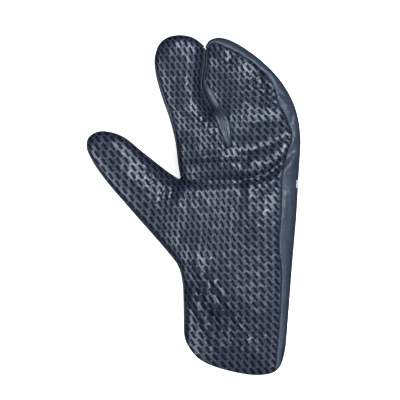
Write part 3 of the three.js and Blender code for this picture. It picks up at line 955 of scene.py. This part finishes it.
def carried(p, tree, from_points, to_points, faces):
    """Carries points from one flat layout of the triangles to another. It gives NaN outside them."""
    made = np.full((len(p), 2), np.nan)
    for i, (x, y) in enumerate(p):
        place, _, k, gap = tree.find_nearest((x, y, 0.0))
        if place is None or gap > OFF_FLAT:
            continue
        a, b, c = from_points[faces[k]]
        whole = (b[0] - a[0]) * (c[1] - a[1]) - (b[1] - a[1]) * (c[0] - a[0])
        wb = ((x - a[0]) * (c[1] - a[1]) - (y - a[1]) * (c[0] - a[0])) / whole
        wc = ((b[0] - a[0]) * (y - a[1]) - (b[1] - a[1]) * (x - a[0])) / whole
        d, e, f = to_points[faces[k]]
        made[i] = d + (e - d) * wb + (f - d) * wc
    return made


def dash_cells():
    """The cells of one dash, a bar of two halves that are each shifted a little to their own side."""
    cells = []
    for i in range(len(DASH_S) - 1):
        s = (DASH_S[i] + DASH_S[i + 1]) / 2
        first = 1 if s < -DASH_SHARED else 0
        last = len(DASH_T) - 2 if s > DASH_SHARED else len(DASH_T) - 1
        cells += [(i, j) for j in range(first, last)]
    return cells


def dash_corners():
    """The corners of one dash's cells in the flat cloth, round its middle."""
    along = np.array([math.cos(DASH_SLANT), math.sin(DASH_SLANT)])
    across = np.array([-along[1], along[0]])
    return np.array([s * along + t * across for s in DASH_S for t in DASH_T])


def dash_middles(flat, start):
    """The middles of the dashes over all of the flat cloth, from the middle of one of them."""
    row = np.array([math.cos(PRINT_RISE), math.sin(PRINT_RISE)]) * PRINT_PITCH
    column = np.array([math.sin(PRINT_LEAN), math.cos(PRINT_LEAN)]) * PRINT_PITCH
    low, high = flat.min(0) - PRINT_MARGIN, flat.max(0) + PRINT_MARGIN
    reach = int(np.ceil(np.hypot(*(high - low)) / PRINT_PITCH)) + 1
    numbers = range(-reach, reach + 1)
    middles = np.array([start + i * row + j * column for i in numbers for j in numbers])
    return middles[np.all((middles > low) & (middles < high), axis=1)]


def on_palm(places):
    """The top and the underside of the print at places of the plan, and NaN where there is no palm cloth."""
    co = np.empty(3 * len(palm.data.vertices))
    palm.data.vertices.foreach_get("co", co)
    surface = co.reshape(-1, 3) * 1000 + ORIGIN
    cloth = BVHTree.FromPolygons(surface.tolist(), [tuple(f.vertices) for f in palm.data.polygons])
    top, under = np.full((len(places), 3), np.nan), np.full((len(places), 3), np.nan)
    for k, (x, y) in enumerate(places):
        if np.isnan(x):
            continue
        hit, normal, _, _ = cloth.ray_cast((x, y, ABOVE_ALL), (0, 0, -1))
        if hit is not None:
            top[k] = np.array(hit) + np.array(normal) * DASH_HIGH
            under[k] = np.array(hit) - np.array(normal) * DASH_SUNK
    return top, under


def dash_faces(cells, levels, base, points):
    """A top face for each cell of one dash, and walls down the edges that no two cells share."""
    ids = {}

    def corner(i, j, level):
        if (i, j, level) not in ids:
            ids[(i, j, level)] = len(points)
            points.append(levels[level][base + i * len(DASH_T) + j])
        return ids[(i, j, level)]

    faces, edges = [], {}
    for i, j in cells:
        ring = [(i, j), (i + 1, j), (i + 1, j + 1), (i, j + 1)]
        faces.append([corner(*c, 1) for c in ring])
        for a, b in zip(ring, ring[1:] + ring[:1]):
            if (b, a) in edges:
                del edges[(b, a)]
            else:
                edges[(a, b)] = True
    for a, b in edges:
        faces.append([corner(*b, 1), corner(*a, 1), corner(*a, 0), corner(*b, 0)])
    return faces


def grip_print():
    """Raised dashes, laid out on the flat cloth and set on the cloth in its folds."""
    flat, plan, faces = flat_cloth()
    start = carried(np.array([PRINT_AT]), tree_of(plan, faces), plan, flat, faces)[0]
    middles = dash_middles(flat, start)
    corners = (middles[:, None, :] + dash_corners()[None, :, :]).reshape(-1, 2)
    places = carried(corners, tree_of(flat, faces), flat, plan, faces)
    top, under = on_palm(places)
    good = ~np.isnan(top[:, 0])
    sides = split_side(places)
    tall = len(DASH_T)
    points, polygons = [], []
    for base in range(0, len(places), len(DASH_S) * tall):
        cells = []
        for i, j in dash_cells():
            at = base + i * tall + j
            four = [at, at + 1, at + tall, at + tall + 1]
            if good[four].all() and np.ptp(sides[four]) < 2:
                cells.append((i, j))
        if len(cells) >= LEAST_CELLS:
            polygons += dash_faces(cells, (under, top), base, points)
    return make_object("grip_print", np.array(points), polygons)


dashes = grip_print()

# Stitches and reflective mark


def surface_at(p):
    """Points of the plan on the palm side, with the directions out of the cloth there."""
    slopes = []
    for by in ([SLOPE_STEP, 0], [0, SLOPE_STEP]):
        slopes.append((palm_height(p + by) - palm_height(p - by)) / (2 * SLOPE_STEP))
    out = np.column_stack([-slopes[0], -slopes[1], np.ones(len(p))])
    return np.column_stack([p, palm_height(p)]), out / np.linalg.norm(out, axis=1)[:, None]


def stitch_rings(centres, outs):
    """The rings of points round one stitch, which is thinner at its ends."""
    way = centres[-1] - centres[0]
    way /= np.linalg.norm(way)
    shares = np.linspace(-1, 1, STITCH_RINGS)
    points = []
    for centre, out, share in zip(centres, outs, shares):
        wide = STITCH_THICK / 2 * math.sqrt(max(1 - share**4, STITCH_END))
        side = np.cross(way, out)
        side /= np.linalg.norm(side)
        for k in range(STITCH_SIDES):
            angle = 2 * math.pi * k / STITCH_SIDES
            up = wide * math.sin(angle) + STITCH_LIFT
            points.append(centre + out * up + side * wide * math.cos(angle))
    return points


def stitch_faces(base):
    """The faces between the rings of one stitch and at its two ends."""
    ring = [base + k for k in range(STITCH_SIDES)]
    faces = []
    for r in range(STITCH_RINGS - 1):
        for a, b in zip(ring, ring[1:] + ring[:1]):
            a, b = a + r * STITCH_SIDES, b + r * STITCH_SIDES
            faces.append([a, b, b + STITCH_SIDES, a + STITCH_SIDES])
    faces.append(ring[::-1])
    faces.append([k + (STITCH_RINGS - 1) * STITCH_SIDES for k in ring])
    return faces


def stitches(name, line):
    """A row of stitches along a line of the plan."""
    places, outs = surface_at(resample(line, STITCH_LINE_STEP))
    gone = np.concatenate([[0], np.cumsum(np.linalg.norm(np.diff(places, axis=0), axis=1))])
    points, faces = [], []
    for start in np.arange(STITCH_PITCH, gone[-1] - STITCH_PITCH, STITCH_PITCH):
        at = start + np.linspace(0, STITCH_LONG, STITCH_RINGS)
        centres = np.stack([np.interp(at, gone, places[:, k]) for k in range(3)], 1)
        ways_out = np.stack([np.interp(at, gone, outs[:, k]) for k in range(3)], 1)
        faces += stitch_faces(len(points))
        points += stitch_rings(centres, ways_out)
    obj = make_object(name, np.array(points), faces)
    smooth(obj)
    return obj


def reflective_mark():
    rows = resample(right_rim, MARK_STEP)
    rows = rows[(rows[:, 1] > MARK_FROM) & (rows[:, 1] < MARK_TO)]
    ways = inward(rows)
    places, outs = surface_at(np.vstack([rows + ways * inset for inset in MARK_INSETS]))
    wide = len(rows)
    faces = [
        [k * wide + i, k * wide + i + 1, (k + 1) * wide + i + 1, (k + 1) * wide + i]
        for k in range(len(MARK_INSETS) - 1)
        for i in range(wide - 1)
    ]
    obj = make_object("reflective_mark", places + outs * MARK_LIFT, faces)
    thicken(obj, MARK_THICK)
    return obj


thread = stitches("seam_stitches", shifted(palm_right, -STITCH_ASIDE))
mark = reflective_mark()

# Materials

# How noises share in the cloth's colour, how its specks change its roughness, and the sizes of its bumps
BROAD_SHARE = 0.45
SPECK_SHARE = 0.55
SPECK_RANGE = (0.35, 0.65)
DULL_BY = 0.1
GLINT_BY = 0.14
RIB_WAVE = 0.314
RIB_PITCH = 0.0011
GRAIN_STRONG = 0.55
GRAIN_DEEP = 0.0005
CREASE_DEEP = 0.0015
RIB_DEEP = 0.0004


def material(name):
    """A new material, with its node tree and its shader."""
    made = bpy.data.materials.new(name)
    made.use_nodes = True
    return made, made.node_tree, made.node_tree.nodes["Principled BSDF"]


def node(tree, kind, **values):
    """A new node. Each value goes to the socket of that name, or else to the setting of that name."""
    made = tree.nodes.new(kind)
    for key, value in values.items():
        if key in made.inputs:
            made.inputs[key].default_value = value
        else:
            setattr(made, key, value)
    return made


def pattern(tree, kind, **values):
    """A texture that lies fixed on the object."""
    made = node(tree, kind, **values)
    where = node(tree, "ShaderNodeTexCoord")
    tree.links.new(where.outputs["Object"], made.inputs["Vector"])
    return made.outputs["Fac"]


def bumped(tree, height, under, strength, distance):
    """A bump by a pattern, over the bump under it if there is one."""
    made = node(tree, "ShaderNodeBump", Strength=strength, Distance=distance)
    tree.links.new(height, made.inputs["Height"])
    if under:
        tree.links.new(under, made.inputs["Normal"])
    return made.outputs["Normal"]


def two_colours(tree, share, dark, light):
    """A mix of two colours. The inputs 0, 6 and 7 of the node are the share and the colours."""
    made = node(tree, "ShaderNodeMix", data_type="RGBA")
    made.inputs[6].default_value, made.inputs[7].default_value = dark, light
    tree.links.new(share, made.inputs[0])
    return made.outputs[2]


def map_range(tree, value, given, wanted):
    """A value carried from the range given to the range wanted."""
    made = node(tree, "ShaderNodeMapRange")
    for socket, number in zip(("From Min", "From Max", "To Min", "To Max"), (*given, *wanted)):
        made.inputs[socket].default_value = number
    tree.links.new(value, made.inputs["Value"])
    return made.outputs["Result"]


def weighted_sum(tree, a, share_a, b, share_b):
    second = node(tree, "ShaderNodeMath", operation="MULTIPLY")
    second.inputs[1].default_value = share_b
    tree.links.new(b, second.inputs[0])
    total = node(tree, "ShaderNodeMath", operation="MULTIPLY_ADD")
    total.inputs[1].default_value = share_a
    tree.links.new(a, total.inputs[0])
    tree.links.new(second.outputs[0], total.inputs[2])
    return total.outputs[0]


def rgb(r, g, b):
    """A colour given as it looks on screen, from 0 to 255."""
    linear = [((c / 255 + 0.055) / 1.055) ** 2.4 if c > 10 else c / 255 / 12.92 for c in (r, g, b)]
    return (*linear, 1)


def cloth_material(name, dark, light, rough, rib=0.0, grain=1.0, ruffle=0.0):
    """Cloth with a grain that glints, and with ribs and creases if they are asked for."""
    made, tree, shader = material(name)
    broad = pattern(tree, "ShaderNodeTexNoise", Scale=55.0, Detail=3.0)
    speck = pattern(tree, "ShaderNodeTexNoise", Scale=1000.0, Detail=2.0, Roughness=0.6)
    share = weighted_sum(tree, broad, BROAD_SHARE, speck, SPECK_SHARE)
    tree.links.new(two_colours(tree, share, dark, light), shader.inputs["Base Color"])
    roughness = map_range(tree, speck, SPECK_RANGE, (rough + DULL_BY, rough - GLINT_BY))
    tree.links.new(roughness, shader.inputs["Roughness"])
    normal = bumped(tree, speck, None, GRAIN_STRONG * grain, GRAIN_DEEP)
    if ruffle:
        creased = pattern(tree, "ShaderNodeTexNoise", Scale=130.0, Detail=3.0)
        normal = bumped(tree, creased, normal, ruffle, CREASE_DEEP)
    if rib:
        settings = {"Scale": RIB_WAVE / RIB_PITCH, "Distortion": 0.6, "Detail": 1.0, "bands_direction": "X"}
        ribs = pattern(tree, "ShaderNodeTexWave", **settings)
        normal = bumped(tree, ribs, normal, rib, RIB_DEEP)
    tree.links.new(normal, shader.inputs["Normal"])
    shader.inputs["Specular IOR Level"].default_value = 0.5
    shader.inputs["Specular Tint"].default_value = (0.8, 0.89, 1, 1)
    return made


def print_material():
    made, tree, shader = material("silicone_print")
    noise = pattern(tree, "ShaderNodeTexNoise", Scale=700.0, Detail=2.0)
    tree.links.new(two_colours(tree, noise, rgb(2, 5, 13), rgb(6, 11, 23)), shader.inputs["Base Color"])
    tree.links.new(bumped(tree, noise, None, 0.2, 0.0003), shader.inputs["Normal"])
    shader.inputs["Roughness"].default_value = 0.6
    shader.inputs["Specular IOR Level"].default_value = 0.14
    shader.inputs["Specular Tint"].default_value = (0.7, 0.84, 1, 1)
    return made


def plain_material(name, colour, rough, grain):
    made, tree, shader = material(name)
    noise = pattern(tree, "ShaderNodeTexNoise", Scale=grain, Detail=2.0)
    tree.links.new(bumped(tree, noise, None, 0.25, 0.0002), shader.inputs["Normal"])
    shader.inputs["Base Color"].default_value = colour
    shader.inputs["Roughness"].default_value = rough
    return made


coated = cloth_material("coated_cloth", rgb(21, 26, 36), rgb(41, 48, 61), 0.34)
plain = cloth_material(
    "plain_cloth", rgb(26, 32, 42), rgb(46, 55, 69), 0.42, rib=0.35, grain=0.6, ruffle=0.6
)
stretch = cloth_material("stretch_cloth", rgb(27, 33, 44), rgb(45, 53, 66), 0.38, grain=0.7, ruffle=0.4)
for piece, its_material in (
    (palm, coated),
    (back, plain),
    (fourchette, stretch),
    (dashes, print_material()),
    (thread, plain_material("thread", rgb(78, 88, 104), 0.6, 2600.0)),
    (mark, plain_material("reflective_film", rgb(190, 196, 202), 0.35, 1800.0)),
):
    piece.data.materials.append(its_material)

for piece, nodes_stood_for, slot in (
    (palm, ["palm_panel"], "palm_cloth"),
    (back, ["back_panel"], "back_cloth"),
    (fourchette, ["finger_fourchette"], "fourchette_cloth"),
    (dashes, [], None),
    (thread, [], None),
    (mark, [], None),
):
    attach(piece, "root")
    if nodes_stood_for:
        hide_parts(*nodes_stood_for)

# Floor, lights, sky and camera, in metres
FLOOR_REACH = 3
FLOOR_GLOW = 0.8
SKY_FROM_TO = (-0.1, 0.5)
SKY_LOW = 0.03
SKY_HIGH = 0.24
FRAME_WIDE = 0.344
CAMERA_AT = (0.0053, 0.0043)
CAMERA_FAR = 2.0
CAMERA_LEVEL = 0.014
SENSOR = 36
WHITE = (1, 1, 1)

# Name, place, aim, size, power and colour
LIGHTS = [
    ("overhead", (0.44, 0.42, 1.2), (0, 0, 0), (0.5, 0.5), 30, (0.97, 0.985, 1)),
    ("low_fill", (-0.7, -0.5, 0.9), (0, 0, 0), (0.5, 0.5), 6.5, WHITE),
    ("right_rim", (0.95, -0.55, 0.42), (0.05, -0.08, 0), (0.4, 0.4), 5.5, (0.9, 0.95, 1)),
    ("left_rim", (-0.9, -0.35, 0.42), (0, -0.04, 0), (0.5, 0.4), 9, (0.93, 0.96, 1)),
]


def floor():
    """A pale floor that glows a little and doesn't show in the glove's own reflections."""
    mesh = bpy.data.meshes.new("floor")
    signs = [(-1, -1), (1, -1), (1, 1), (-1, 1)]
    mesh.from_pydata([(x * FLOOR_REACH, y * FLOOR_REACH, 0) for x, y in signs], [], [(0, 1, 2, 3)])
    obj = added("floor", mesh)
    made, _, shader = material("floor_paint")
    shader.inputs["Base Color"].default_value = (0.9, 0.9, 0.9, 1)
    shader.inputs["Roughness"].default_value = 0.9
    shader.inputs["Specular IOR Level"].default_value = 0.1
    shader.inputs["Emission Color"].default_value = (*WHITE, 1)
    shader.inputs["Emission Strength"].default_value = FLOOR_GLOW
    mesh.materials.append(made)
    obj.visible_glossy = False
    obj.visible_diffuse = False


def soft_light(name, place, aim, size, power, colour):
    data = bpy.data.lights.new(name, "AREA")
    data.shape = "RECTANGLE"
    data.size, data.size_y = size
    data.energy = power
    data.color = colour
    obj = added(name, data)
    obj.location = place
    obj.rotation_euler = (Vector(aim) - Vector(place)).to_track_quat("-Z", "Y").to_euler()


def sky():
    """A dim sky that is brighter higher up."""
    world = bpy.data.worlds.new("studio")
    world.use_nodes = True
    tree = world.node_tree
    background = tree.nodes["Background"]
    split = node(tree, "ShaderNodeSeparateXYZ")
    tree.links.new(node(tree, "ShaderNodeTexCoord").outputs["Generated"], split.inputs[0])
    strength = map_range(tree, split.outputs["Z"], SKY_FROM_TO, (SKY_LOW, SKY_HIGH))
    tree.links.new(strength, background.inputs["Strength"])
    background.inputs["Color"].default_value = (0.9, 0.95, 1, 1)
    bpy.context.scene.world = world


def camera():
    """A long lens straight above the glove."""
    obj = added("camera", bpy.data.cameras.new("camera"))
    obj.location = (*CAMERA_AT, CAMERA_LEVEL + CAMERA_FAR)
    obj.rotation_euler = (0, 0, 0)
    obj.data.sensor_width = SENSOR
    obj.data.lens = SENSOR * CAMERA_FAR / FRAME_WIDE
    obj.data.clip_end = 20
    bpy.context.scene.camera = obj


floor()
for row in LIGHTS:
    soft_light(*row)
sky()
camera()
bpy.context.scene.view_settings.view_transform = "Standard"
